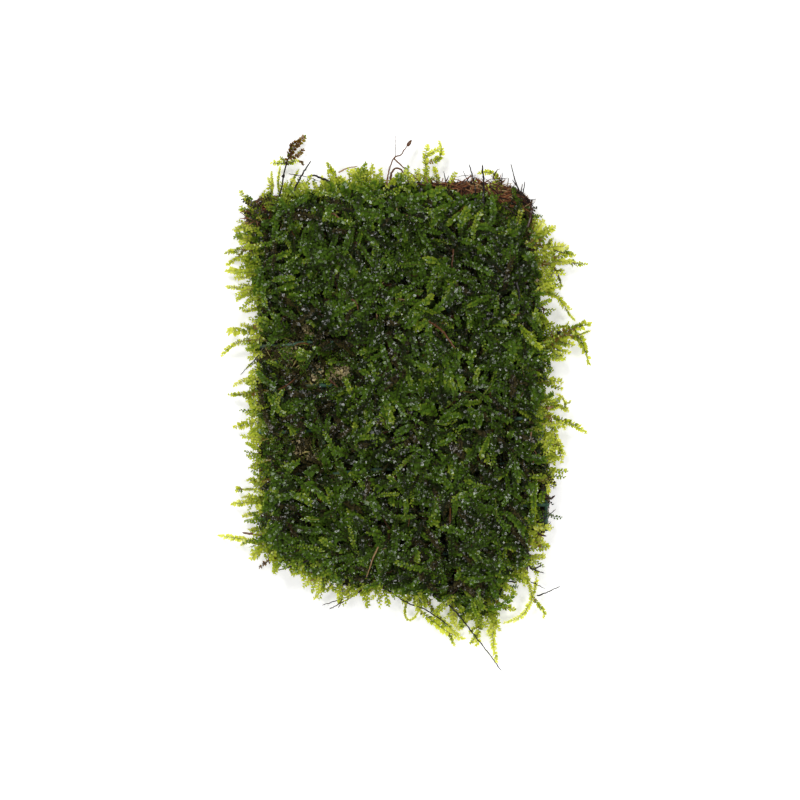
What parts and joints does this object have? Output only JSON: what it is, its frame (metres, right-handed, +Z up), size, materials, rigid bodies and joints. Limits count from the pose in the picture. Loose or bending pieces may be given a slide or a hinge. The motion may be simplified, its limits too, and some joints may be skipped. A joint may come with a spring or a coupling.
{
  "type": "moss mat",
  "caption": "Flat mat of weeping moss grown over coated wire mesh on a coir pad, with leafy shoots, twigs and roots trailing past its edges.",
  "frame": {"origin": "middle of the coir pad's flat underside", "axes": "+Y along the pad's long side, from the end where the moss hangs down in a tongue to the other end; +Z up out of the moss; +X to the right of the picture"},
  "size_m": [0.1121, 0.1595, 0.0147],
  "materials": {
    "coir": "wet brown felted fibre",
    "coated_wire": "glossy dark teal plastic coat",
    "moss": "wet dark green leaves",
    "shoot": "wet yellow-green leaves, light comes through",
    "brown_shoot": "ageing olive-brown leaves",
    "twig": "damp dark brown bark"
  },
  "bodies": {
    "root": {"coir_pad": "coir", "support_mesh": "coated_wire", "moss_carpet": "moss", "brown_frond": "brown_shoot", "corner_shoot": "shoot", "forked_shoot": "shoot", "left_hook_shoot": "shoot", "left_shoot_1": "shoot", "left_shoot_10": "shoot", "left_shoot_11": "shoot", "left_shoot_12": "shoot", "left_shoot_2": "shoot", "left_shoot_3": "shoot", "left_shoot_4": "shoot", "left_shoot_5": "shoot", "left_shoot_6": "shoot", "left_shoot_7": "shoot", "left_shoot_8": "shoot", "left_shoot_9": "shoot", "looped_shoot": "shoot", "lower_chain_shoot": "shoot", "lower_shoot_1": "shoot", "lower_shoot_2": "shoot", "lower_shoot_3": "shoot", "orange_tipped_shoot": "shoot", "right_chain_shoot": "shoot", "right_lower_spray": "shoot", "right_shoot_1": "shoot", "right_shoot_2": "shoot", "right_shoot_3": "shoot", "right_shoot_4": "shoot", "right_shoot_5": "shoot", "right_shoot_6": "shoot", "right_spray": "shoot", "top_shoot_1": "shoot", "top_shoot_2": "shoot", "top_shoot_3": "shoot", "top_shoot_4": "shoot", "top_shoot_5": "shoot", "leaning_twig": "twig", "curved_dark_stem": "twig", "bud_stem": "twig", "brown_arch": "twig", "long_bristle": "twig", "black_bristle": "twig", "corner_bristles": "twig", "brown_corner_stalk": "twig", "mat_twig": "twig", "right_brown_twig": "twig", "brown_bark_bit": "twig", "right_bristle": "twig", "lower_right_twigs": "twig", "lower_right_fibre": "twig", "lower_left_twig": "twig", "brown_root": "twig", "thin_root": "twig", "black_root": "twig", "long_black_root": "twig"}
  },
  "joints": []
}
